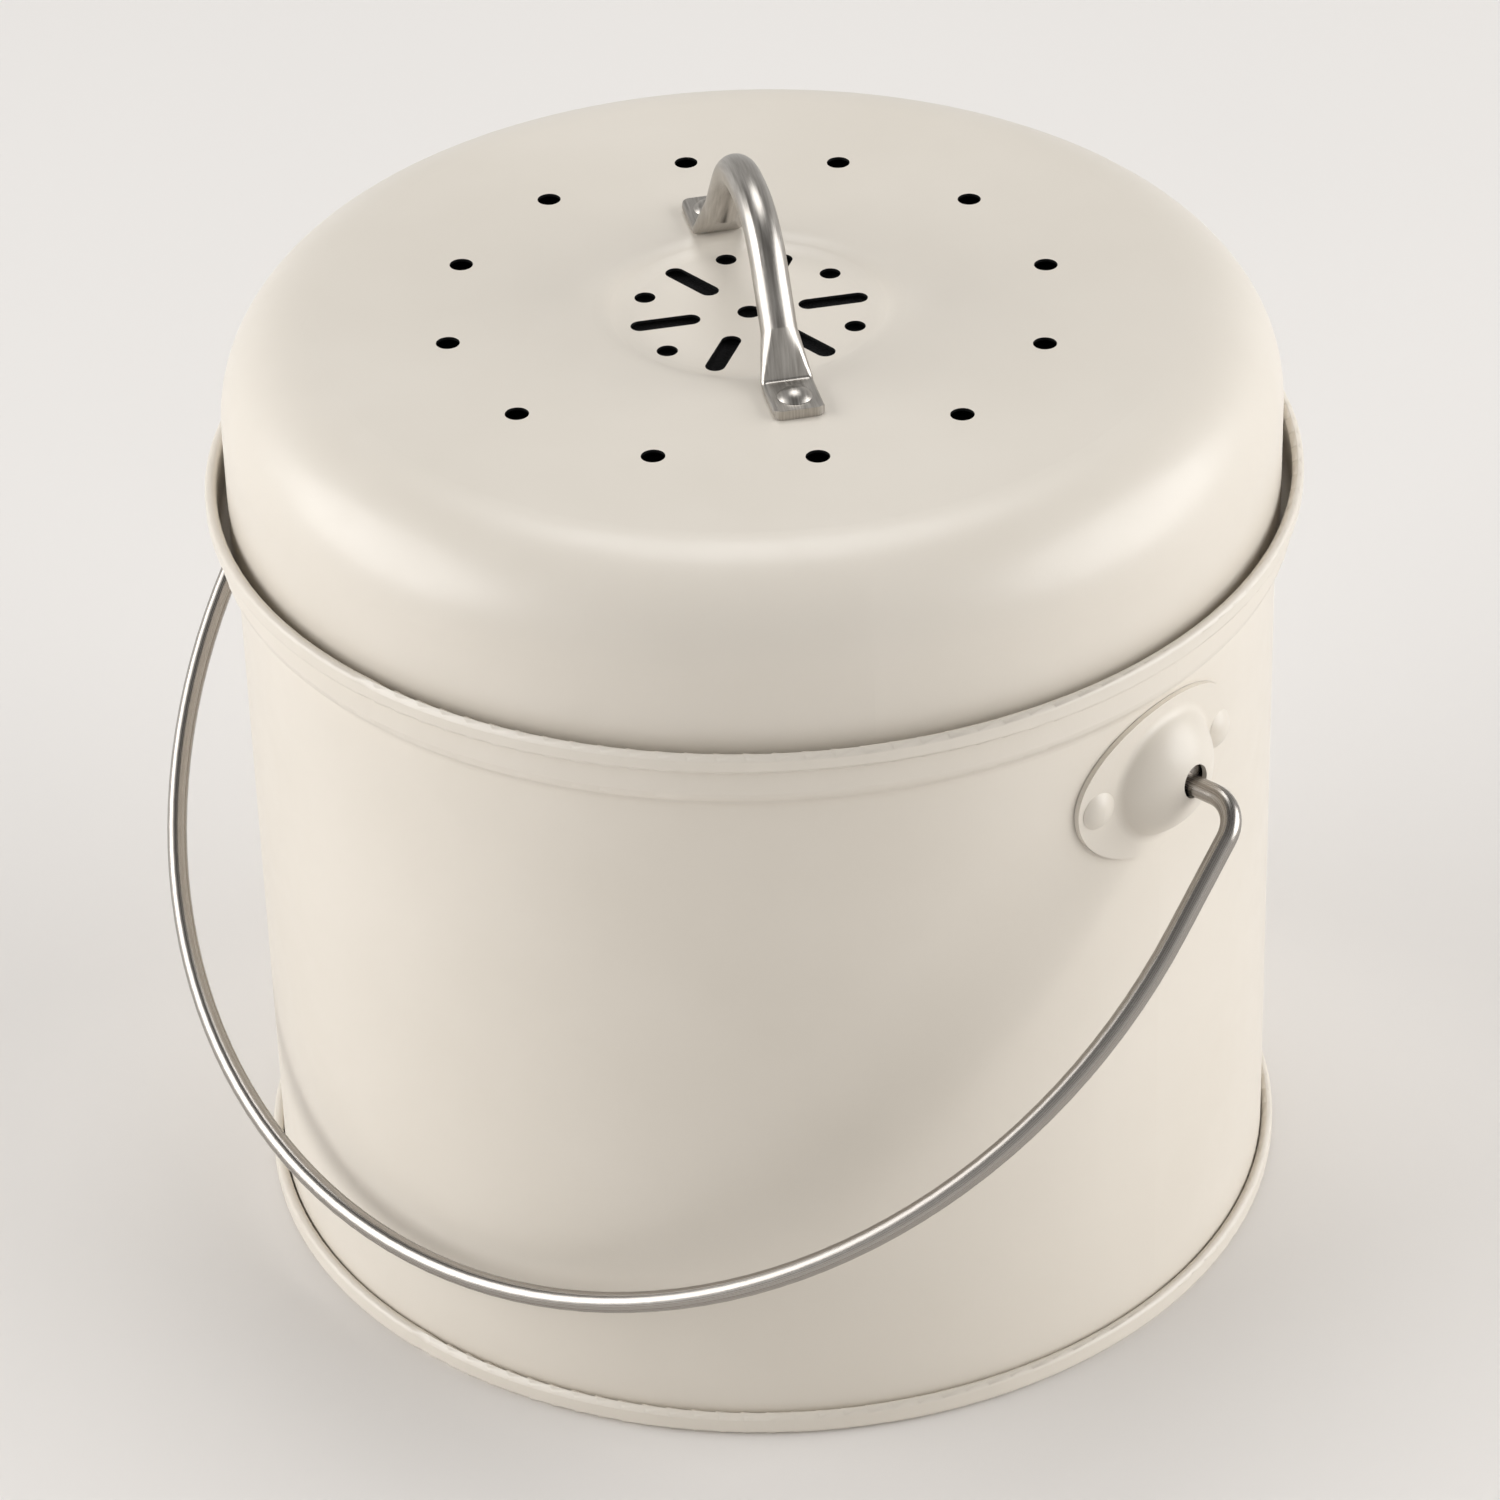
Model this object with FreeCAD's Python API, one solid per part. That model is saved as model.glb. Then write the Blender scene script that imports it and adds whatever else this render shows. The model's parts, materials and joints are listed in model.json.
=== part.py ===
import FreeCAD, Part
import math
import os

os.makedirs("parts", exist_ok=True)

# Countertop compost bin: a painted sheet steel bin with a seamed base and a rolled lip,
# a vented lid that lifts off, and a wire bail that swings in two domed ears.
# Lengths are millimetres, angles are degrees, +Z is up and the bail leans toward -Y.

# Sheet and general clearances
sheet = 0.6
free_gap = 0.3
weld_gap = 0.05
overrun = 20.0
full_turn = 360.0
half_turn = 180.0
quarter_turn = 90.0

# Bin wall, ledge and rolled lip
bin_height = 158.5
wall_radius = 100.0
collar_step = 2.8
seat_depth = 10.1
step_height = 3.1
step_bend = 2.5
lip_width = 2.2
lip_height = 4.0
lip_bend = 0.74
lip_end_gap = 0.25
lap_angle = 122.0
lap_width = 5.0
lap_proud = 0.4
lap_seam_gap = 1.7
lap_step_gap = 2.8

# Seamed base
seam_gap = 0.2
seam_height = 4.8
seam_bend = 0.78
chime_bend = 1.2
hook_top = 3.6
cover_hook_low = 2.4
floor_recess = 4.5
floor_rise = 0.9
floor_step_edge = 16.9
floor_step_run = 2.4
floor_bend = 2.0

# Ears
pivot_drop = 30.5
ear_sheet = 1.0
ear_seat = 0.1
ear_width = 45.0
ear_height = 31.5
dome_rise = 7.3
dome_base_radius = 12.6
dome_blend = 2.4
ear_hole_radius = 3.3
ear_rivet_edge = 4.9

# Rivets of the ears
ear_rivet_head_radius = 3.75
ear_rivet_head_height = 1.6
ear_rivet_shank_radius = 1.6
ear_rivet_tail_radius = 2.8
ear_rivet_tail_height = 1.0
rivet_hole_gap = 0.1

# Bail
wire_radius = 2.0
bail_side_run = 10.6
bail_corner = 6.5
bail_leg = 26.0
bail_wall_gap = 4.5
bail_head_radius = 4.0
bail_head_height = 2.5

# Lid
lid_height = 44.15
lid_side_gap = 2.0
lid_shoulder = 18.8
hem_gap = 0.1
hem_height = 4.5
recess_depth = 1.8
recess_rim_radius = 28.1
recess_run = 3.7
recess_bend = 7.5
lid_turn = -35.9

# Vents in the lid
outer_vent_radius = 2.25
outer_vent_circle = 57.7
outer_vent_count = 12
inner_vent_radius = 2.0
inner_vent_circle = 20.8
inner_vent_count = 6
slot_length = 13.4
slot_width = 3.8
slot_circle = 16.2
centre_vent_radius = 2.3

# Lid handle, a round tube pressed flat at both ends
tube_radius = 3.45
strap_thick = 1.9
foot_rim_gap = 2.5
foot_length = 11.3
foot_corner = 1.9
foot_bend = 1.9
handle_shift = 2.0
arch_height = 25.7
arch_inset = 19.1
arch_bend = 20.0
blend_run = 9.0
facet_angle = 34.0

# Rivets and washers of the lid handle
lid_rivet_run = 6.3
lid_rivet_head_radius = 3.3
lid_rivet_head_height = 1.6
lid_rivet_shank_radius = 1.6
lid_rivet_tail_radius = 2.4
lid_rivet_tail_height = 0.9
washer_radius = 4.5
washer_thick = 0.7

# Charcoal filter and its clips
filter_thick = 6.0
filter_drop = 0.8
clip_sheet = 0.8
clip_width = 14.0
clip_count = 4
clip_first_angle = 45.0
clip_side_gap = 0.5
clip_edge = 0.3
clip_flange = 5.3
clip_lip = 10.0
clip_bend = 0.9
clip_rest_gap = 0.1

# Sizes that follow from the values above
origin = FreeCAD.Vector(0, 0, 0)
x_axis = FreeCAD.Vector(1, 0, 0)
y_axis = FreeCAD.Vector(0, 1, 0)
z_axis = FreeCAD.Vector(0, 0, 1)
half_sheet = sheet / 2
wall_mid = wall_radius - half_sheet
wall_inner = wall_radius - sheet
collar_inner = wall_radius + collar_step
collar_mid = collar_inner + half_sheet
lip_radius = collar_inner + lip_width
step_high = bin_height - seat_depth
step_low = step_high - step_height
seam_pitch = sheet + seam_gap
chuck_mid = wall_inner - seam_gap - half_sheet
pivot_height = bin_height - pivot_drop
pivot = FreeCAD.Vector(0, 0, pivot_height)
ear_inner = wall_radius + ear_seat
ear_outer = ear_inner + ear_sheet
ear_rivet_angle = math.degrees(math.asin((ear_width / 2 - ear_rivet_edge) / wall_radius))
dome_reach = ear_outer + dome_rise
dome_radius = (dome_base_radius ** 2 + dome_rise ** 2) / (2 * dome_rise)
dome_centre = dome_reach - dome_radius
dome_cavity = dome_radius - ear_sheet
ear_hole_height = pivot_height + ear_hole_radius - wire_radius - free_gap
bail_half_width = dome_reach + bail_side_run
bail_reach = bail_leg + bail_half_width
bail_lean = math.degrees(math.asin((wall_radius + wire_radius + bail_wall_gap) / bail_reach))
lid_radius = collar_inner - lid_side_gap
lid_mid = lid_radius - half_sheet
hem_fold = (sheet + hem_gap) / 2
ledge_slope = math.atan2(step_height, collar_mid - wall_mid)
ledge = step_low + (lid_mid - hem_fold - wall_mid) * math.tan(ledge_slope)
lid_seat = ledge + (sheet + free_gap + hem_fold) / math.cos(ledge_slope) - hem_fold
lid_top = lid_seat + lid_height
lid_top_mid = lid_top - half_sheet
lid_under = lid_top - sheet
strap_seat = lid_top + weld_gap
strap_width = math.pi * (tube_radius - strap_thick / 2) + strap_thick
foot_bend_at = recess_rim_radius + foot_rim_gap
foot_end = foot_bend_at + foot_length
lid_rivet_at = foot_bend_at + lid_rivet_run
lid_rivet_places = [handle_shift + lid_rivet_at, handle_shift - lid_rivet_at]
clip_end = lid_radius - lid_shoulder - clip_edge
clip_web_mid = clip_end - clip_flange
filter_radius = clip_web_mid - clip_sheet / 2 - clip_side_gap
filter_top = lid_under - recess_depth - filter_drop
filter_low = filter_top - filter_thick


def profile_point(radius, height):
    return FreeCAD.Vector(radius, 0, height)


def corner_turn(before, corner, after):
    """Signed bend at a corner of a line, with the directions on both sides."""
    way_in = corner.sub(before).normalize()
    way_out = after.sub(corner).normalize()
    cross = way_in.x * way_out.z - way_in.z * way_out.x
    turn = math.atan2(cross, way_in.dot(way_out))
    return turn, way_in, way_out


def shifted(corners, distance):
    """The same bent line moved sideways, to its left for a positive distance."""
    moved = []
    last = len(corners) - 1
    for index, corner in enumerate(corners):
        if index == 0:
            way = corners[1].sub(corner).normalize()
            moved.append(corner.add(profile_point(-way.z, way.x).multiply(distance)))
            continue
        if index == last:
            way = corner.sub(corners[index - 1]).normalize()
            moved.append(corner.add(profile_point(-way.z, way.x).multiply(distance)))
            continue
        turn, way_in, way_out = corner_turn(corners[index - 1], corner, corners[index + 1])
        middle = profile_point(-way_in.z - way_out.z, way_in.x + way_out.x).normalize()
        moved.append(corner.add(middle.multiply(distance / math.cos(turn / 2))))
    return moved


def bent_edges(corners, bends, distance):
    """Straight edges and tangent arcs along a bent line moved sideways by a distance."""
    line = shifted(corners, distance)
    edges = []
    start = line[0]
    for index, bend in enumerate(bends, 1):
        turn, way_in, way_out = corner_turn(line[index - 1], line[index], line[index + 1])
        radius = bend - math.copysign(abs(distance), turn * distance)
        reach = radius * math.tan(abs(turn) / 2)
        arc_start = line[index].sub(FreeCAD.Vector(way_in).multiply(reach))
        arc_end = line[index].add(FreeCAD.Vector(way_out).multiply(reach))
        inward = FreeCAD.Vector(way_out).sub(way_in).normalize()
        depth = radius / math.cos(turn / 2) - radius
        arc_middle = line[index].add(inward.multiply(depth))
        edges.append(Part.LineSegment(start, arc_start).toShape())
        edges.append(Part.Arc(arc_start, arc_middle, arc_end).toShape())
        start = arc_end
    edges.append(Part.LineSegment(start, line[-1]).toShape())
    return edges


def sheet_face(corners, bends, thickness):
    """Section through a bent sheet of even thickness along a middle line."""
    left = bent_edges(corners, bends, thickness / 2)
    right = bent_edges(corners, bends, -thickness / 2)
    first_cap = Part.LineSegment(right[0].Vertexes[0].Point, left[0].Vertexes[0].Point).toShape()
    last_cap = Part.LineSegment(left[-1].Vertexes[-1].Point, right[-1].Vertexes[-1].Point).toShape()
    ring = Part.Wire(Part.__sortEdges__(left + [last_cap] + right + [first_cap]))
    return Part.Face(ring)


def turned(face):
    return face.revolve(origin, z_axis, full_turn)


def turned_about(shape, centre, axis, angle):
    copy = shape.copy()
    copy.rotate(centre, axis, angle)
    return copy


def around(shape, angle):
    return turned_about(shape, origin, z_axis, angle)


def upright_cylinder(radius, low, top):
    return Part.makeCylinder(radius, top - low, FreeCAD.Vector(0, 0, low), z_axis)


def domed_head(radius, height):
    """Rounded rivet head standing on the origin along +Z."""
    ball = (radius ** 2 + height ** 2) / (2 * height)
    centre = FreeCAD.Vector(0, 0, height - ball)
    cap = Part.makeSphere(ball, centre)
    return cap.common(upright_cylinder(radius + overrun, 0, height + overrun))


def bin_wall():
    hook_mid = wall_mid + 2 * seam_pitch
    hook_low = half_sheet + seam_pitch
    lip_mid = lip_radius - half_sheet
    lip_low_mid = bin_height - lip_height + half_sheet
    lip_top_mid = bin_height - half_sheet
    lip_end = collar_inner + sheet + lip_end_gap
    corners = [
        profile_point(hook_mid, hook_top),
        profile_point(hook_mid, hook_low),
        profile_point(wall_mid, hook_low),
        profile_point(wall_mid, step_low),
        profile_point(collar_mid, step_high),
        profile_point(collar_mid, lip_top_mid),
        profile_point(lip_mid, lip_top_mid),
        profile_point(lip_mid, lip_low_mid),
        profile_point(lip_end, lip_low_mid),
    ]
    bends = [seam_bend, seam_bend, step_bend, step_bend, lip_bend, lip_bend, lip_bend]
    skin = turned(sheet_face(corners, bends, sheet))
    for place in ear_rivet_places():
        skin = skin.cut(ear_rivet_hole(place))
    return skin.fuse(lap_seam()).removeSplitter()


def lap_seam():
    """Outer layer of the overlap where the rolled wall is joined."""
    angle = math.degrees(lap_width / wall_radius)
    lap_low = seam_height + lap_seam_gap
    lap_top = step_low - lap_step_gap
    ring = upright_cylinder(wall_radius + lap_proud, lap_low, lap_top)
    ring = ring.cut(upright_cylinder(wall_mid, lap_low, lap_top))
    reach = wall_radius + overrun
    wedge = Part.makeCylinder(reach, lap_top, origin, z_axis, angle)
    return around(ring.common(wedge), lap_angle)


def base_pan():
    cover_mid = wall_mid + seam_pitch
    outer_mid = wall_mid + 3 * seam_pitch
    top_mid = seam_height - half_sheet
    floor_mid = floor_recess + half_sheet
    raised_mid = floor_mid + floor_rise
    floor_step_radius = chuck_mid - floor_step_edge
    corners = [
        profile_point(0, raised_mid),
        profile_point(floor_step_radius, raised_mid),
        profile_point(floor_step_radius + floor_step_run, floor_mid),
        profile_point(chuck_mid, floor_mid),
        profile_point(chuck_mid, half_sheet),
        profile_point(outer_mid, half_sheet),
        profile_point(outer_mid, top_mid),
        profile_point(cover_mid, top_mid),
        profile_point(cover_mid, cover_hook_low),
    ]
    bends = [floor_bend, floor_bend, chime_bend, chime_bend, chime_bend, seam_bend, seam_bend]
    return turned(sheet_face(corners, bends, sheet))


def ear_rivet_places():
    places = []
    for side in (0, half_turn):
        for share in (-1, 1):
            places.append(side + share * ear_rivet_angle)
    return places


def on_wall(shape, angle, radius):
    """Stand a shape made along +Z on the wall, pointing outward at an angle."""
    placed = turned_about(shape, origin, y_axis, quarter_turn)
    placed.translate(FreeCAD.Vector(radius, 0, pivot_height))
    return around(placed, angle)


def ear_rivet_hole(angle):
    radius = ear_rivet_shank_radius + rivet_hole_gap
    return on_wall(upright_cylinder(radius, -overrun, overrun), angle, wall_radius)


def ear_rivets():
    grip_low = wall_inner - free_gap - ear_outer
    head = domed_head(ear_rivet_head_radius, ear_rivet_head_height)
    shank = upright_cylinder(ear_rivet_shank_radius, grip_low, ear_rivet_head_height / 2)
    tail = upright_cylinder(ear_rivet_tail_radius, grip_low - ear_rivet_tail_height, grip_low)
    rivet = head.fuse(shank).fuse(tail).removeSplitter()
    return Part.makeCompound([on_wall(rivet, angle, ear_outer) for angle in ear_rivet_places()])


def ear():
    """Oval plate bent to the wall with a hollow dome that holds the end of the bail."""
    oval = Part.Ellipse(origin, ear_width / 2, ear_height / 2)
    plate = Part.Face(Part.Wire(oval.toShape()))
    plate = turned_about(plate, origin, z_axis, quarter_turn)
    plate = turned_about(plate, origin, y_axis, quarter_turn)
    plate.translate(FreeCAD.Vector(wall_radius - overrun, 0, pivot_height))
    plate = plate.extrude(x_axis * (2 * overrun))
    low = pivot_height - ear_height
    top = pivot_height + ear_height
    plate = plate.common(upright_cylinder(ear_outer, low, top))
    ball_centre = FreeCAD.Vector(dome_centre, 0, pivot_height)
    dome = Part.makeSphere(dome_radius, ball_centre)
    blank = plate.fuse(dome)
    blank = blank.cut(upright_cylinder(ear_inner, low, top))
    rim = [edge for edge in blank.Edges if joins_dome(edge, blank)]
    blank = blank.makeFillet(dome_blend, rim)
    blank = blank.cut(Part.makeSphere(dome_cavity, ball_centre))
    hole_start = FreeCAD.Vector(dome_centre, 0, ear_hole_height)
    blank = blank.cut(Part.makeCylinder(ear_hole_radius, dome_radius + overrun, hole_start, x_axis))
    for side in (-1, 1):
        blank = blank.cut(ear_rivet_hole(side * ear_rivet_angle))
    return blank


def joins_dome(edge, solid):
    """True for an edge between the dome's ball face and the plate's outer face."""
    faces = solid.ancestorsOfType(edge, Part.Face)
    kinds = set()
    for face in faces:
        if isinstance(face.Surface, Part.Sphere):
            kinds.add("ball")
        if isinstance(face.Surface, Part.Cylinder) and abs(face.Surface.Radius - ear_outer) < ear_seat:
            kinds.add("plate")
    return len(kinds) == 2


def bail_handle():
    """Wire bent to a long bow, with a pressed head on each end inside the ears."""
    head_reach = math.sqrt(dome_cavity ** 2 - bail_head_radius ** 2)
    head_out = dome_centre + head_reach - free_gap
    head_in = head_out - bail_head_height
    turn_out = bail_half_width - bail_corner
    drop = pivot_height - bail_corner
    leg_low = pivot_height - bail_leg
    bend_share = math.sqrt(1 / 2)
    bend_x = turn_out + bail_corner * bend_share
    bend_z = drop + bail_corner * bend_share
    edges = [
        Part.LineSegment(profile_point(head_in, pivot_height), profile_point(turn_out, pivot_height)),
        Part.Arc(
            profile_point(turn_out, pivot_height),
            profile_point(bend_x, bend_z),
            profile_point(bail_half_width, drop),
        ),
        Part.LineSegment(profile_point(bail_half_width, drop), profile_point(bail_half_width, leg_low)),
        Part.Arc(
            profile_point(bail_half_width, leg_low),
            profile_point(0, pivot_height - bail_reach),
            profile_point(-bail_half_width, leg_low),
        ),
        Part.LineSegment(profile_point(-bail_half_width, leg_low), profile_point(-bail_half_width, drop)),
        Part.Arc(
            profile_point(-bail_half_width, drop),
            profile_point(-bend_x, bend_z),
            profile_point(-turn_out, pivot_height),
        ),
        Part.LineSegment(profile_point(-turn_out, pivot_height), profile_point(-head_in, pivot_height)),
    ]
    track = Part.Wire([edge.toShape() for edge in edges])
    ring = Part.Wire(Part.Circle(profile_point(head_in, pivot_height), x_axis, wire_radius).toShape())
    wire = track.makePipeShell([ring], True, False)
    for side in (-1, 1):
        start = profile_point(side * head_in, pivot_height)
        wire = wire.fuse(Part.makeCylinder(bail_head_radius, bail_head_height, start, x_axis * side))
    return turned_about(wire.removeSplitter(), pivot, x_axis, -bail_lean)


def lid_shell():
    hem_mid = lid_mid - sheet - hem_gap
    hem_bend = hem_fold - weld_gap / 2
    corners = [
        profile_point(0, lid_top_mid - recess_depth),
        profile_point(recess_rim_radius - recess_run, lid_top_mid - recess_depth),
        profile_point(recess_rim_radius, lid_top_mid),
        profile_point(lid_mid, lid_top_mid),
        profile_point(lid_mid, lid_seat),
        profile_point(hem_mid, lid_seat),
        profile_point(hem_mid, lid_seat + hem_height),
    ]
    bends = [recess_bend, recess_bend, lid_shoulder - half_sheet, hem_bend, hem_bend]
    skin = turned(sheet_face(corners, bends, sheet))
    skin = skin.cut(Part.makeCompound(vents() + lid_rivet_holes()))
    return around(skin, lid_turn)


def hole_at(radius, reach, angle):
    low = lid_top - overrun
    cutter = upright_cylinder(radius, low, lid_top + overrun)
    cutter.translate(x_axis * reach)
    return around(cutter, angle)


def vents():
    cutters = [hole_at(centre_vent_radius, 0, 0)]
    for index in range(outer_vent_count):
        cutters.append(hole_at(outer_vent_radius, outer_vent_circle, index * full_turn / outer_vent_count))
    pitch = full_turn / inner_vent_count
    for index in range(inner_vent_count):
        cutters.append(hole_at(inner_vent_radius, inner_vent_circle, index * pitch))
        cutters.append(around(slot_cutter(), (index + 1 / 2) * pitch))
    return cutters


def slot_cutter():
    """Long vent along a spoke of the lid."""
    half_run = (slot_length - slot_width) / 2
    corner = FreeCAD.Vector(slot_circle - half_run, -slot_width / 2, lid_top - overrun)
    bar = Part.makeBox(2 * half_run, slot_width, 2 * overrun, corner)
    inner_end = hole_at(slot_width / 2, slot_circle - half_run, 0)
    outer_end = hole_at(slot_width / 2, slot_circle + half_run, 0)
    return bar.fuse(inner_end).fuse(outer_end).removeSplitter()


def lid_rivet_holes():
    radius = lid_rivet_shank_radius + rivet_hole_gap
    return [hole_at(radius, place, 0) for place in lid_rivet_places]


def beside_track(place, way, across, through):
    return place + y_axis * across + profile_point(-way.z, way.x) * through


def flat_outline(place, way):
    """Outline across the foot, where the tube is pressed flat and keeps round edges."""
    flat = (strap_width - strap_thick) / 2
    edge = strap_thick / 2
    spots = [(flat, edge), (-flat, edge), (-flat - edge, 0), (-flat, -edge), (flat, -edge), (flat + edge, 0)]
    start, left, left_edge, low_left, low_right, right_edge = [
        beside_track(place, way, across, through) for across, through in spots
    ]
    sides = [
        Part.LineSegment(start, left),
        Part.Arc(left, left_edge, low_left),
        Part.LineSegment(low_left, low_right),
        Part.Arc(low_right, right_edge, start),
    ]
    return Part.Wire([side.toShape() for side in sides])


def round_outline(place, way):
    """Outline across the arch, split where the pressed facets run out."""
    spread = tube_radius * math.sin(math.radians(facet_angle))
    rise = tube_radius * math.cos(math.radians(facet_angle))
    spots = [
        [(spread, rise), (0, tube_radius), (-spread, rise)],
        [(-spread, rise), (-tube_radius, 0), (-spread, -rise)],
        [(-spread, -rise), (0, -tube_radius), (spread, -rise)],
        [(spread, -rise), (tube_radius, 0), (spread, rise)],
    ]
    sides = []
    for side in spots:
        places = [beside_track(place, way, across, through) for across, through in side]
        sides.append(Part.Arc(*places).toShape())
    return Part.Wire(sides)


def foot_trim():
    """Block whose two round corners give the end of a foot its outline from above."""
    corner = FreeCAD.Vector(0, -strap_width / 2, lid_top - overrun)
    block = Part.makeBox(foot_end, strap_width, 2 * overrun, corner)
    ends = [edge for edge in block.Edges if edge.BoundBox.XMin > foot_bend_at and edge.BoundBox.YLength == 0]
    return block.makeFillet(foot_corner, [edge for edge in ends if edge.BoundBox.XLength == 0])


def half_handle():
    """One foot, its pressed transition and half of the round arch."""
    foot_mid = strap_seat + strap_thick / 2
    top_mid = lid_top + arch_height
    corners = [
        profile_point(foot_end + overrun, foot_mid),
        profile_point(foot_bend_at, foot_mid),
        profile_point(foot_bend_at - arch_inset, top_mid),
        profile_point(0, top_mid),
    ]
    edges = bent_edges(corners, [foot_bend, arch_bend], 0)
    leg_low = edges[2].Vertexes[0].Point
    leg_top = edges[2].Vertexes[1].Point
    leg_way = leg_top.sub(leg_low).normalize()
    round_low = leg_low + leg_way * blend_run
    foot_end_outline = flat_outline(corners[0], -x_axis)
    foot = Part.Wire(edges[:2]).makePipeShell([foot_end_outline], True, False)
    blend = Part.makeLoft([flat_outline(leg_low, leg_way), round_outline(round_low, leg_way)], True, True)
    arch_track = Part.Wire([Part.LineSegment(round_low, leg_top).toShape()] + edges[3:])
    arch = arch_track.makePipeShell([round_outline(round_low, leg_way)], True, False)
    return foot.common(foot_trim()).fuse(blend).fuse(arch)


def lid_handle():
    half = half_handle()
    handle = half.fuse(half.mirror(origin, x_axis)).removeSplitter()
    handle.translate(x_axis * handle_shift)
    handle = handle.cut(Part.makeCompound(lid_rivet_holes()))
    return around(handle, lid_turn)


def at_both_feet(shape, height):
    """Two copies of an upright shape at the two feet of the handle."""
    copies = []
    for place in lid_rivet_places:
        copy = shape.copy()
        copy.translate(FreeCAD.Vector(place, 0, height))
        copies.append(around(copy, lid_turn))
    return Part.makeCompound(copies)


def lid_handle_rivets():
    head_seat = strap_seat + strap_thick + weld_gap
    tail_top = lid_under - weld_gap - washer_thick - weld_gap - head_seat
    head = domed_head(lid_rivet_head_radius, lid_rivet_head_height)
    shank = upright_cylinder(lid_rivet_shank_radius, tail_top, lid_rivet_head_height / 2)
    tail = upright_cylinder(lid_rivet_tail_radius, tail_top - lid_rivet_tail_height, tail_top)
    return at_both_feet(head.fuse(shank).fuse(tail).removeSplitter(), head_seat)


def lid_rivet_washers():
    ring = upright_cylinder(washer_radius, 0, washer_thick)
    ring = ring.cut(upright_cylinder(lid_rivet_shank_radius + rivet_hole_gap, -overrun, overrun))
    return at_both_feet(ring, lid_under - weld_gap - washer_thick)


def charcoal_filter():
    return upright_cylinder(filter_radius, filter_low, filter_top)


def filter_clip(index):
    """Bent strip welded under the lid's top, with its lip under the filter's edge."""
    flange_mid = lid_under - weld_gap - clip_sheet / 2
    lip_mid = filter_low - clip_rest_gap - clip_sheet / 2
    corners = [
        profile_point(clip_end, flange_mid),
        profile_point(clip_web_mid, flange_mid),
        profile_point(clip_web_mid, lip_mid),
        profile_point(clip_web_mid - clip_lip, lip_mid),
    ]
    strip = sheet_face(corners, [clip_bend, clip_bend], clip_sheet)
    strip.translate(y_axis * (-clip_width / 2))
    strip = strip.extrude(y_axis * clip_width)
    return around(strip, lid_turn + clip_first_angle + index * full_turn / clip_count)


pieces = {
    "bin_wall": bin_wall(),
    "base_pan": base_pan(),
    "ear_right": ear(),
    "ear_left": around(ear(), half_turn),
    "ear_rivets": ear_rivets(),
    "bail_handle": bail_handle(),
    "lid_shell": lid_shell(),
    "lid_handle": lid_handle(),
    "lid_handle_rivets": lid_handle_rivets(),
    "lid_rivet_washers": lid_rivet_washers(),
    "charcoal_filter": charcoal_filter(),
}
for clip_index in range(clip_count):
    pieces[f"filter_clip_{clip_index + 1}"] = filter_clip(clip_index)

for node, shape in pieces.items():
    shape.exportStep(os.path.join("parts", node + ".step"))
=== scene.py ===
import json
import math

import bmesh
import bpy
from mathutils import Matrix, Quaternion, Vector, noise


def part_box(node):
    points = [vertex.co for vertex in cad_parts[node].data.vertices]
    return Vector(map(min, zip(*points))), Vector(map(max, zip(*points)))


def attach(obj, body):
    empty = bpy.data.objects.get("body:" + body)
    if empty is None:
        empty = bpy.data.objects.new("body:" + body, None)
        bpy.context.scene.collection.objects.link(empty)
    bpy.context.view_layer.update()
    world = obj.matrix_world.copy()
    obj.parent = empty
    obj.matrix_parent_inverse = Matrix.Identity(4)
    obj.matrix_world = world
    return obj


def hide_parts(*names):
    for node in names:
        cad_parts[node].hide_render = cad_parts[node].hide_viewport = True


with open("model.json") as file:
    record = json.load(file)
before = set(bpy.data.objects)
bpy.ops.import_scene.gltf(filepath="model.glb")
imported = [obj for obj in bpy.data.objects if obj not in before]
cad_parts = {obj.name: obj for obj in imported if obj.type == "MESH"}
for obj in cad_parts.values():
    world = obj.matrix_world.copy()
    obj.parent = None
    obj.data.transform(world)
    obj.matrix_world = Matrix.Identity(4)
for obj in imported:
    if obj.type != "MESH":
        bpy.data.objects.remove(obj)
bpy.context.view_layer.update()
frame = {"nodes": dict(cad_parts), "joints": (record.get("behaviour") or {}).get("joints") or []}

# Camera, as found from the photograph: a long lens that looks down between the front and the right ear
camera_azimuth = math.radians(42.5)
camera_elevation = math.radians(33.67)
camera_distance = 1.2044
camera_roll = -0.0302
camera_target_height = 0.0922
camera_aim_right = -0.0024
camera_aim_up = -0.0018
focal_px = 6100
photo_px = 1500
sensor_mm = 36.0

# Studio light: two soft lamps low at the sides, one high at the back, and a world that darkens upward
side_light_turn = math.radians(84)
side_light_elevation = math.radians(21)
side_light_distance = 2.4
side_light_size = (2.6, 1.9)
side_light_watts = 47.0
top_light_elevation = math.radians(68)
top_light_distance = 1.6
top_light_size = (0.9, 0.9)
top_light_watts = 7.8
world_color = (0.98, 0.97, 0.955, 1.0)
world_low_strength = 0.68
world_high_strength = 0.1

# Floor, which fades into the tone of the horizon between two distances from the object
floor_radius = 8.0
floor_sides = 96
floor_color = (0.80, 0.775, 0.75, 1.0)
floor_shade_share = 0.985
floor_shade = tuple(floor_shade_share * channel for channel in floor_color)
floor_gloss = {"Roughness": 0.85, "Specular IOR Level": 0.15}
floor_fade = (0.55, 1.5)

# Spans that values are mapped from and to: the middle of a noise, and nothing to all or back
noise_span = (0.3, 0.7)
none_to_all = (0.0, 1.0)
all_to_none = (1.0, 0.0)

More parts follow.
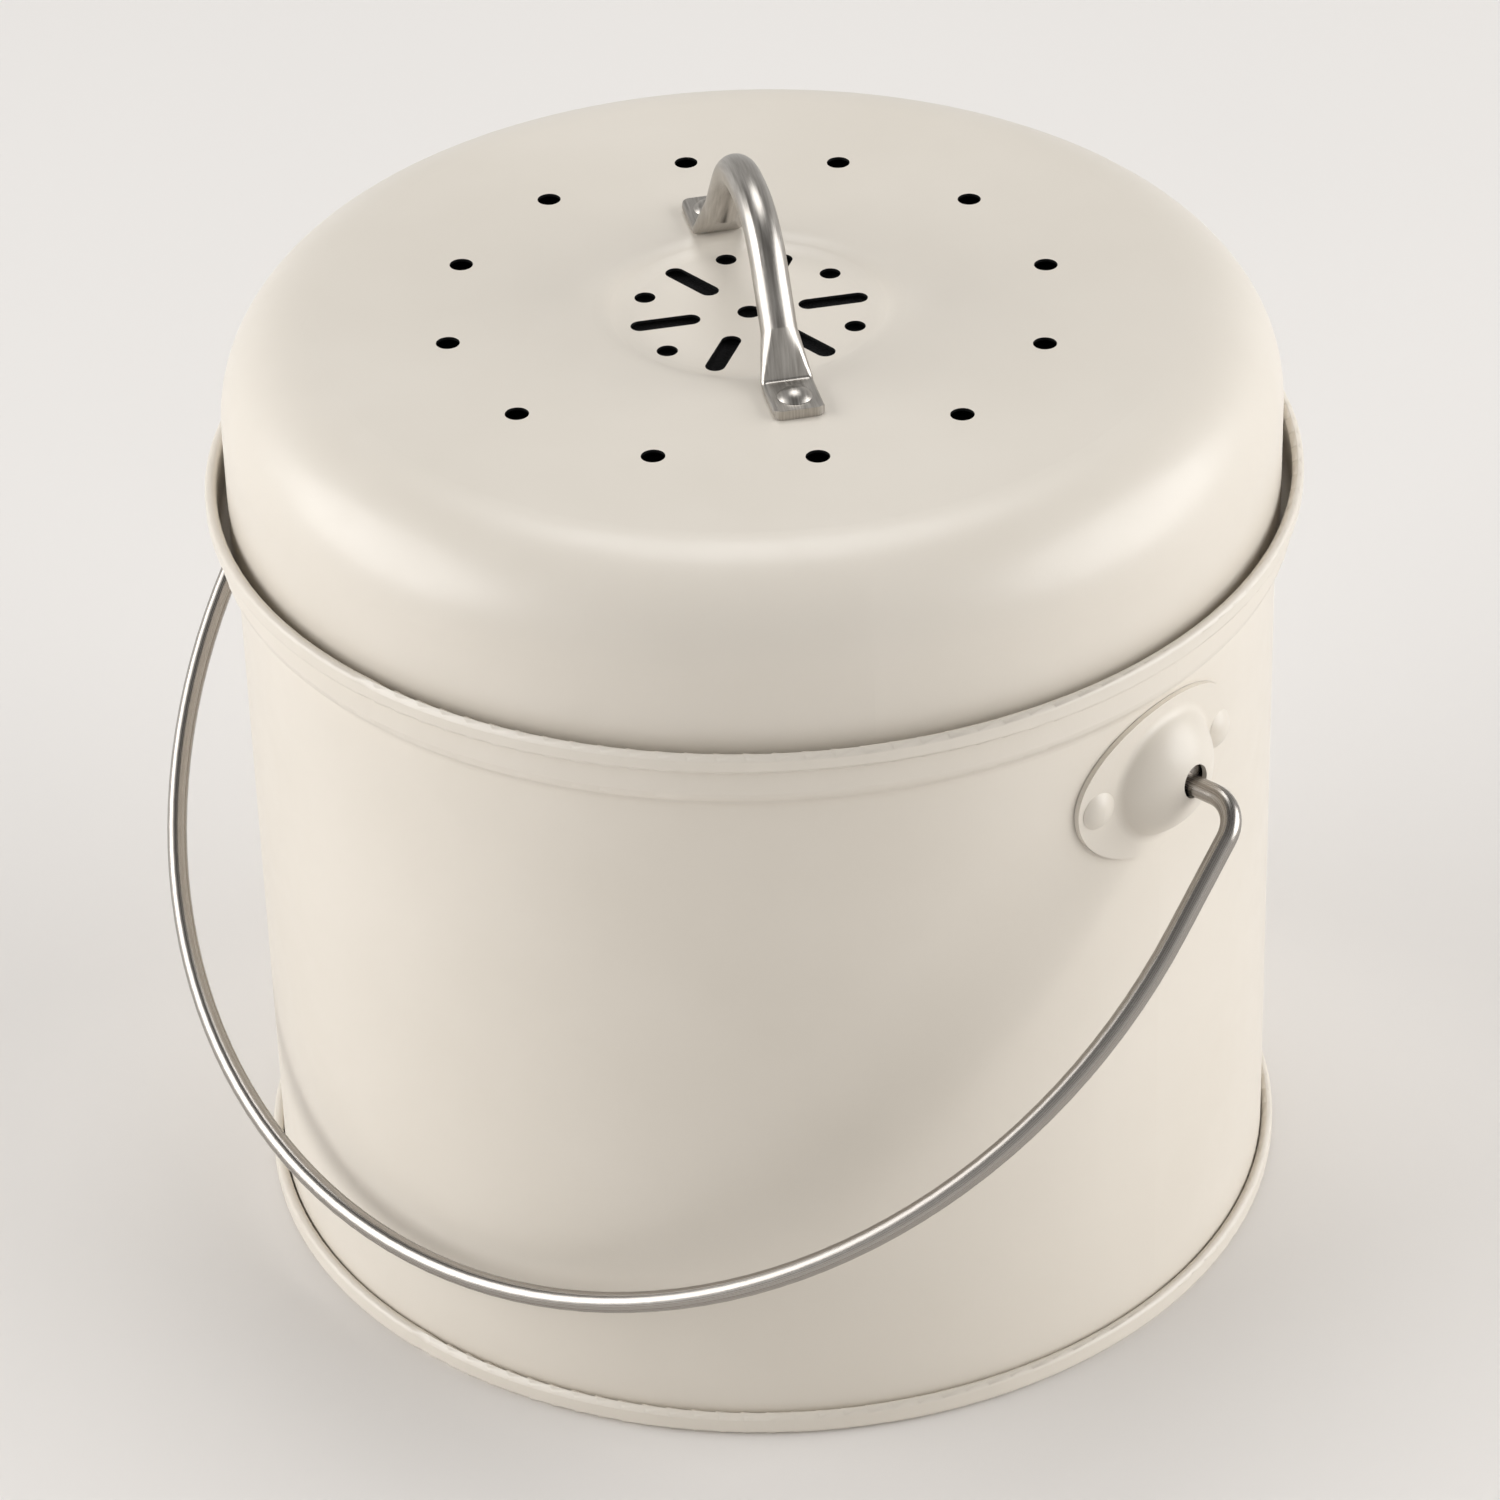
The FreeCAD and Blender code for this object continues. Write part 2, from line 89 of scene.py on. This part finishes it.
# Grains of the finishes, as settings of a noise whose scale counts cells per metre
floor_cloud = {"Scale": 3}
paint_cloud = {"Scale": 22, "Detail": 3}
paint_gloss = {"Scale": 160, "Detail": 3}
sheet_wave = {"Scale": 14, "Detail": 1}
orange_peel = {"Scale": 900}
wire_lines = {"Scale": 3200, "Detail": 3, "Roughness": 0.6}
tube_lines = {"Scale": 2600, "Detail": 4, "Roughness": 0.65}
mill_grain = {"Scale": 1500, "Detail": 4, "Roughness": 0.6}
felt_fibre = {"Scale": 1400, "Detail": 6, "Roughness": 0.75}
felt_clump = {"Scale": 180, "Detail": 3}

# Cream powder coat
paint_color = (0.735, 0.682, 0.605, 1.0)
paint_shade = (0.705, 0.652, 0.573, 1.0)
paint_roughness = (0.36, 0.44)
paint_coat = {"Coat Weight": 0.24, "Coat Roughness": 0.26}
sheet_wave_depth = 0.0001
orange_peel_depth = 0.000012

# Painted shade in the paint, by the way the surface faces: a near black on the vents' cut edges and the
# ears' hollow side, standing in for the shade inside the vents and the ears
painted_shade_color = (0.006, 0.006, 0.006, 1.0)
vent_edge_upward = (0.2, 0.45)
ear_hollow_outward = (-0.25, -0.05)

# Stainless steel: depth of the lines, roughness, and colours from the dark of the lines to the light
wire_depth = 0.000004
wire_roughness = (0.22, 0.32)
wire_colors = ((0.31, 0.285, 0.26, 1.0), (0.46, 0.435, 0.405, 1.0))
tube_depth = 0.000005
tube_roughness = (0.28, 0.4)
tube_line_stretch = (0.05, 1.0, 0.05)
mill_depth = 0.000015
mill_roughness = (0.3, 0.4)
pale_colors = ((0.35, 0.325, 0.295, 1.0), (0.53, 0.505, 0.47, 1.0))

# Carbon felt
felt_color = (0.003, 0.003, 0.0032, 1.0)
felt_light = (0.014, 0.014, 0.0145, 1.0)
felt_roughness = (0.85, 1.0)
felt_depth = 0.0004
felt_gloss = {"Sheen Weight": 0.05, "Specular IOR Level": 0.1}

# Bail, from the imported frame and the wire's own bends
joints = {joint["name"]: joint for joint in frame["joints"]}
pivot = Vector(joints["bail_swing"]["pos_m"])
bail_low, bail_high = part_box("bail_handle")
wire_radius = 0.002
bail_leg = 0.026
bail_corner = 0.0065
bail_corner_reach = bail_high.x - wire_radius - bail_corner
bail_lean = math.atan2(-bail_low.y - wire_radius, pivot.z - bail_low.z - wire_radius)

# Turn of the lid, from the two rivets of its handle
rivet_low, rivet_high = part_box("lid_handle_rivets")
lid_turn = math.atan2(-(rivet_high.y - rivet_low.y), rivet_high.x - rivet_low.x)

# Filter pad, in the place of its plain solid
filter_low, filter_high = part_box("charcoal_filter")
pad_radius = (filter_high.x - filter_low.x) / 2
pad_thick = filter_high.z - filter_low.z
pad_middle = (filter_high.z + filter_low.z) / 2
pad_edge_share = 0.32
pad_edge_round = pad_thick * pad_edge_share
pad_relief = 0.00025
pad_fine_scale = 900
pad_fine_weight = 0.6
pad_coarse_scale = 160
pad_rings = 46
pad_edge_steps = 7
pad_sides = 144


class Shader:
    """A material with a principled shader and short calls for its nodes."""

    def __init__(self, name):
        self.material = bpy.data.materials.new(name)
        self.material.use_nodes = True
        self.tree = self.material.node_tree
        self.surface = self.tree.nodes["Principled BSDF"]
        coordinates = self.node("ShaderNodeTexCoord")
        self.place = coordinates.outputs["Object"]
        self.facing = coordinates.outputs["Normal"]

    def fill(self, node, values):
        """Give a node's inputs their values: constants, or outputs of other nodes."""
        for key, value in values.items():
            if isinstance(value, bpy.types.NodeSocket):
                self.tree.links.new(value, node.inputs[key])
            else:
                node.inputs[key].default_value = value

    def node(self, kind, values=None, **settings):
        """Add a node with its settings and the values of its inputs."""
        made = self.tree.nodes.new(kind)
        for key, setting in settings.items():
            setattr(made, key, setting)
        self.fill(made, values or {})
        return made

    def math(self, operation, first, second=0.0):
        return self.node("ShaderNodeMath", {0: first, 1: second}, operation=operation).outputs[0]

    def length(self, first, second):
        """Length of a diagonal, from its two sides."""
        squares = [self.math("MULTIPLY", side, side) for side in (first, second)]
        return self.math("SQRT", self.math("ADD", *squares))

    def distance(self, place):
        """Distance of a place from the origin."""
        return self.node("ShaderNodeVectorMath", {0: place}, operation="LENGTH").outputs["Value"]

    def along(self, source, axis):
        """One axis of a place or direction."""
        return self.node("ShaderNodeSeparateXYZ", {"Vector": source}).outputs[axis]

    def noise(self, grain, place=None):
        return self.node("ShaderNodeTexNoise", {"Vector": place or self.place, **grain}).outputs["Fac"]

    def ramp(self, value, to_span, from_span=noise_span):
        """Map a value from one span to another, and hold it at the ends."""
        from_low, from_high = from_span
        to_low, to_high = to_span
        limits = {"From Min": from_low, "From Max": from_high, "To Min": to_low, "To Max": to_high}
        return self.node("ShaderNodeMapRange", {"Value": value, **limits}).outputs["Result"]

    def mix(self, factor, first, second, kind="RGBA"):
        values = {"Factor": factor, "A": first, "B": second}
        return self.node("ShaderNodeMix", values, data_type=kind).outputs["Result"]

    def moved(self, location=(0, 0, 0), rotation=(0, 0, 0), scale=(1, 1, 1), place=None):
        """A place that is scaled, then turned, then shifted."""
        changes = {"Location": location, "Rotation": rotation, "Scale": scale}
        return self.node("ShaderNodeMapping", {"Vector": place or self.place, **changes}).outputs["Vector"]

    def bump(self, height, distance, below=None):
        """Relief of a depth in metres, on top of another where one is given."""
        made = self.node("ShaderNodeBump", {"Strength": 1.0, "Distance": distance, "Height": height})
        if below:
            self.fill(made, {"Normal": below})
        return made.outputs["Normal"]


def vent_edge_painted_shade(shader):
    """Painted shade on the punched edges of the vents, which stand upright over the filter."""
    upward = shader.math("ABSOLUTE", shader.along(shader.facing, "Z"))
    upright = shader.ramp(upward, all_to_none, vent_edge_upward)
    reach = shader.distance(shader.moved(scale=(1, 1, 0)))
    return shader.math("MULTIPLY", upright, shader.math("LESS_THAN", reach, pad_radius))


def ear_hollow_painted_shade(shader):
    """Painted shade on the hollow side of an ear, which faces the wall."""
    side = shader.math("SIGN", shader.along(shader.place, "X"))
    outward = shader.math("MULTIPLY", shader.along(shader.facing, "X"), side)
    return shader.ramp(outward, all_to_none, ear_hollow_outward)


def cream_paint(name, painted_shade_share=None):
    """Powder coat: warm cream, satin gloss, with a fine orange peel and faint waves of the sheet."""
    shader = Shader(name)
    cloud = shader.ramp(shader.noise(paint_cloud), none_to_all)
    color = shader.mix(cloud, paint_color, paint_shade)
    # Painted shade: a near black mixed in where the share says, standing in for the shade in the vents and
    # the ears' hollows
    if painted_shade_share:
        color = shader.mix(painted_shade_share(shader), color, painted_shade_color)
    roughness = shader.ramp(shader.noise(paint_gloss), paint_roughness)
    wave = shader.bump(shader.noise(sheet_wave), sheet_wave_depth)
    peel = shader.bump(shader.noise(orange_peel), orange_peel_depth, below=wave)
    shader.fill(shader.surface, {"Base Color": color, "Roughness": roughness, "Normal": peel, **paint_coat})
    return shader.material


def steel_surface(shader, streak, depth, roughness, colors):
    """Shared stainless look: warm grey, streaked gloss and a shallow relief."""
    shader.fill(shader.surface, {
        "Base Color": shader.mix(shader.ramp(streak, none_to_all), *colors),
        "Roughness": shader.ramp(streak, roughness),
        "Normal": shader.bump(streak, depth),
        "Metallic": 1.0,
    })


def drawn_wire():
    """Stainless wire with fine lines from drawing, which follow its bow, legs, corners and ends."""
    shader = Shader("drawn_stainless_wire")
    from_pivot = shader.moved(location=-pivot)
    hanging = shader.moved(rotation=(bail_lean, 0, 0), place=from_pivot)
    reach = shader.math("ABSOLUTE", shader.along(hanging, "X"))
    rise = shader.along(hanging, "Z")
    # The bow turns about the middle between the legs' lower ends, and each leg keeps its reach
    below_legs = shader.math("MAXIMUM", shader.math("SUBTRACT", -bail_leg, rise), 0.0)
    round_bow = shader.length(reach, below_legs)
    # A corner turns about its own centre, and the wire's end runs level past it
    past_corner = shader.math("MAXIMUM", shader.math("SUBTRACT", reach, bail_corner_reach), 0.0)
    above_corner = shader.math("MAXIMUM", shader.math("ADD", rise, bail_corner), 0.0)
    round_corner = shader.math("ADD", shader.length(past_corner, above_corner), bail_corner_reach)
    at_corner = shader.math("GREATER_THAN", rise, -bail_corner)
    across = shader.mix(at_corner, round_bow, round_corner, kind="FLOAT")
    lines = shader.node("ShaderNodeCombineXYZ", {"X": across, "Y": shader.along(hanging, "Y")})
    streak = shader.noise(wire_lines, lines.outputs["Vector"])
    steel_surface(shader, streak, wire_depth, wire_roughness, wire_colors)
    return shader.material


def brushed_handle():
    """Stainless tube with brushed lines along its arch."""
    shader = Shader("brushed_stainless_tube")
    turned = shader.moved(rotation=(0, 0, -lid_turn))
    streak = shader.noise(tube_lines, shader.moved(scale=tube_line_stretch, place=turned))
    steel_surface(shader, streak, tube_depth, tube_roughness, pale_colors)
    return shader.material


def clip_steel():
    """Plain mill finish steel for the pieces under the lid."""
    shader = Shader("mill_steel")
    steel_surface(shader, shader.noise(mill_grain), mill_depth, mill_roughness, pale_colors)
    return shader.material


def carbon_felt():
    """Black non-woven carbon pad with a fibrous surface."""
    shader = Shader("carbon_felt")
    fibre = shader.noise(felt_fibre)
    shader.fill(shader.surface, {
        "Base Color": shader.mix(shader.ramp(fibre, none_to_all), felt_color, felt_light),
        "Roughness": shader.ramp(shader.noise(felt_clump), felt_roughness),
        "Normal": shader.bump(fibre, felt_depth),
        **felt_gloss,
    })
    return shader.material


def floor_material():
    """Pale matt floor that fades, far from the object, into the tone of the world at the horizon."""
    shader = Shader("studio_floor")
    cloud = shader.ramp(shader.noise(floor_cloud), none_to_all)
    shader.fill(shader.surface, {"Base Color": shader.mix(cloud, floor_color, floor_shade), **floor_gloss})
    far = shader.ramp(shader.distance(shader.place), none_to_all, floor_fade)
    ray = shader.node("ShaderNodeLightPath").outputs
    mirrored = shader.math("ADD", ray["Is Glossy Ray"], ray["Is Transmission Ray"])
    seen = shader.math("ADD", ray["Is Camera Ray"], mirrored)
    glow = shader.node("ShaderNodeEmission", {"Color": world_color, "Strength": world_low_strength})
    fade = shader.node("ShaderNodeMixShader", {
        "Fac": shader.math("MULTIPLY", far, seen),
        1: shader.surface.outputs["BSDF"],
        2: glow.outputs["Emission"],
    })
    shader.fill(shader.tree.nodes["Material Output"], {"Surface": fade.outputs["Shader"]})
    return shader.material


def dress(nodes, material):
    """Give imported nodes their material."""
    for node in nodes:
        mesh = frame["nodes"][node].data
        mesh.materials.clear()
        mesh.materials.append(material)


def dress_cad():
    """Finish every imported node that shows."""
    clips = [node for node in frame["nodes"] if node.startswith("filter_clip")]
    dress(["bin_wall", "base_pan", "ear_rivets"], cream_paint("cream_powder_coat"))
    dress(["ear_right", "ear_left"], cream_paint("cream_powder_coat_ear_with_painted_shade", ear_hollow_painted_shade))
    dress(["lid_shell"], cream_paint("cream_powder_coat_lid_with_painted_shade", vent_edge_painted_shade))
    dress(["bail_handle"], drawn_wire())
    dress(["lid_handle", "lid_handle_rivets"], brushed_handle())
    dress(["lid_rivet_washers", *clips], clip_steel())


def add_object(name, data):
    """Put a new object into the scene."""
    made = bpy.data.objects.new(name, data)
    bpy.context.scene.collection.objects.link(made)
    return made


def pad_outline():
    """Reach and height of the pad's rings, from its upper face over the soft edge to its lower face."""
    flat_reach = pad_radius - pad_edge_round
    upper = []
    for index in range(1, pad_rings):
        share = index / (pad_rings - 1)
        upper.append((flat_reach * share, pad_thick / 2))
    for index in range(1, pad_edge_steps + 1):
        angle = math.pi / 2 * index / pad_edge_steps
        drop = pad_edge_round * (1 - math.cos(angle))
        upper.append((flat_reach + pad_edge_round * math.sin(angle), pad_thick / 2 - drop))
    lower = [(reach, -height) for reach, height in reversed(upper)]
    return upper + lower


def pad_spot(reach, angle, height):
    """A point of the pad's uneven face, sunk below its plain outline."""
    spot = Vector((reach * math.cos(angle), reach * math.sin(angle), height))
    fine = noise.noise(spot * pad_fine_scale) * pad_fine_weight
    coarse = noise.noise(spot * pad_coarse_scale) * (1 - pad_fine_weight)
    sunk = pad_relief * (1 + fine + coarse)
    spot.x *= 1 - sunk / pad_radius
    spot.y *= 1 - sunk / pad_radius
    spot.z -= math.copysign(sunk, height)
    return spot + Vector((0, 0, pad_middle))


def pad_mesh():
    """Round felt pad with a soft edge and an uneven fibrous face."""
    shape = bmesh.new()
    angles = [2 * math.pi * index / pad_sides for index in range(pad_sides)]
    loops = []
    for reach, height in pad_outline():
        loops.append([shape.verts.new(pad_spot(reach, angle, height)) for angle in angles])
    for upper, lower in zip(loops, loops[1:]):
        for index in range(pad_sides):
            after = (index + 1) % pad_sides
            shape.faces.new((upper[index], lower[index], lower[after], upper[after]))
    shape.faces.new(loops[0])
    shape.faces.new(list(reversed(loops[-1])))
    mesh = bpy.data.meshes.new("filter_pad")
    shape.to_mesh(mesh)
    shape.free()
    mesh.shade_smooth()
    return mesh


def filter_pad():
    """The pad under the vents, which rides on the lid."""
    mesh = pad_mesh()
    mesh.materials.append(carbon_felt())
    pad = add_object("filter_pad", mesh)
    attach(pad, "lid")
    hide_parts("charcoal_filter")


def camera_axes():
    """Level directions to the camera's right and from the object toward the camera."""
    right = Vector((math.cos(camera_azimuth), math.sin(camera_azimuth), 0))
    toward = Vector((math.sin(camera_azimuth), -math.cos(camera_azimuth), 0))
    return right, toward


def raised(level, elevation):
    """A level direction that is tilted up by an elevation."""
    return level * math.cos(elevation) + Vector((0, 0, math.sin(elevation)))


def place_and_aim(thing, place, aim, roll=0.0):
    """Put a camera or lamp in its place, looking at a point."""
    thing.location = place
    thing.rotation_mode = "QUATERNION"
    thing.rotation_quaternion = (aim - place).to_track_quat("-Z", "Y") @ Quaternion((0, 0, 1), roll)


def add_camera():
    """The photograph's camera."""
    right, toward = camera_axes()
    target = Vector((0, 0, camera_target_height))
    back = raised(toward, camera_elevation)
    up = back.cross(right)
    data = bpy.data.cameras.new("camera")
    data.sensor_width = sensor_mm
    data.lens = sensor_mm * focal_px / photo_px
    camera = add_object("camera", data)
    aim = target + right * camera_aim_right + up * camera_aim_up
    place_and_aim(camera, target + back * camera_distance, aim, camera_roll)
    bpy.context.scene.camera = camera


def add_light(name, way, distance, size, watts):
    """A soft lamp in a direction from the object."""
    data = bpy.data.lights.new(name, "AREA")
    data.shape = "ELLIPSE"
    data.size, data.size_y = size
    data.energy = watts
    aim = Vector((0, 0, camera_target_height))
    place_and_aim(add_object(name, data), aim + way * distance, aim)


def add_lights():
    """One lamp at each side of the camera's view, and one above and behind the object."""
    right, toward = camera_axes()
    for name, side in (("light_left", -1), ("light_right", 1)):
        level = right * (side * math.sin(side_light_turn)) + toward * math.cos(side_light_turn)
        way = raised(level, side_light_elevation)
        add_light(name, way, side_light_distance, side_light_size, side_light_watts)
    way = raised(-toward, top_light_elevation)
    add_light("light_top", way, top_light_distance, top_light_size, top_light_watts)


def add_world():
    """World light that falls off from the horizon to the zenith."""
    world = bpy.data.worlds.new("studio")
    world.use_nodes = True
    nodes = world.node_tree.nodes
    links = world.node_tree.links
    way = nodes.new("ShaderNodeTexCoord")
    axes = nodes.new("ShaderNodeSeparateXYZ")
    rise = nodes.new("ShaderNodeMapRange")
    rise.inputs["To Min"].default_value = world_low_strength
    rise.inputs["To Max"].default_value = world_high_strength
    background = nodes["Background"]
    background.inputs["Color"].default_value = world_color
    links.new(way.outputs["Generated"], axes.inputs["Vector"])
    links.new(axes.outputs["Z"], rise.inputs["Value"])
    links.new(rise.outputs["Result"], background.inputs["Strength"])
    bpy.context.scene.world = world


def add_floor():
    """A wide round floor."""
    shape = bmesh.new()
    bmesh.ops.create_circle(shape, cap_ends=True, radius=floor_radius, segments=floor_sides)
    mesh = bpy.data.meshes.new("floor")
    shape.to_mesh(mesh)
    shape.free()
    mesh.materials.append(floor_material())
    floor = add_object("floor", mesh)


dress_cad()
filter_pad()
add_floor()
add_lights()
add_world()
add_camera()
bpy.context.scene.view_settings.view_transform = "Standard"
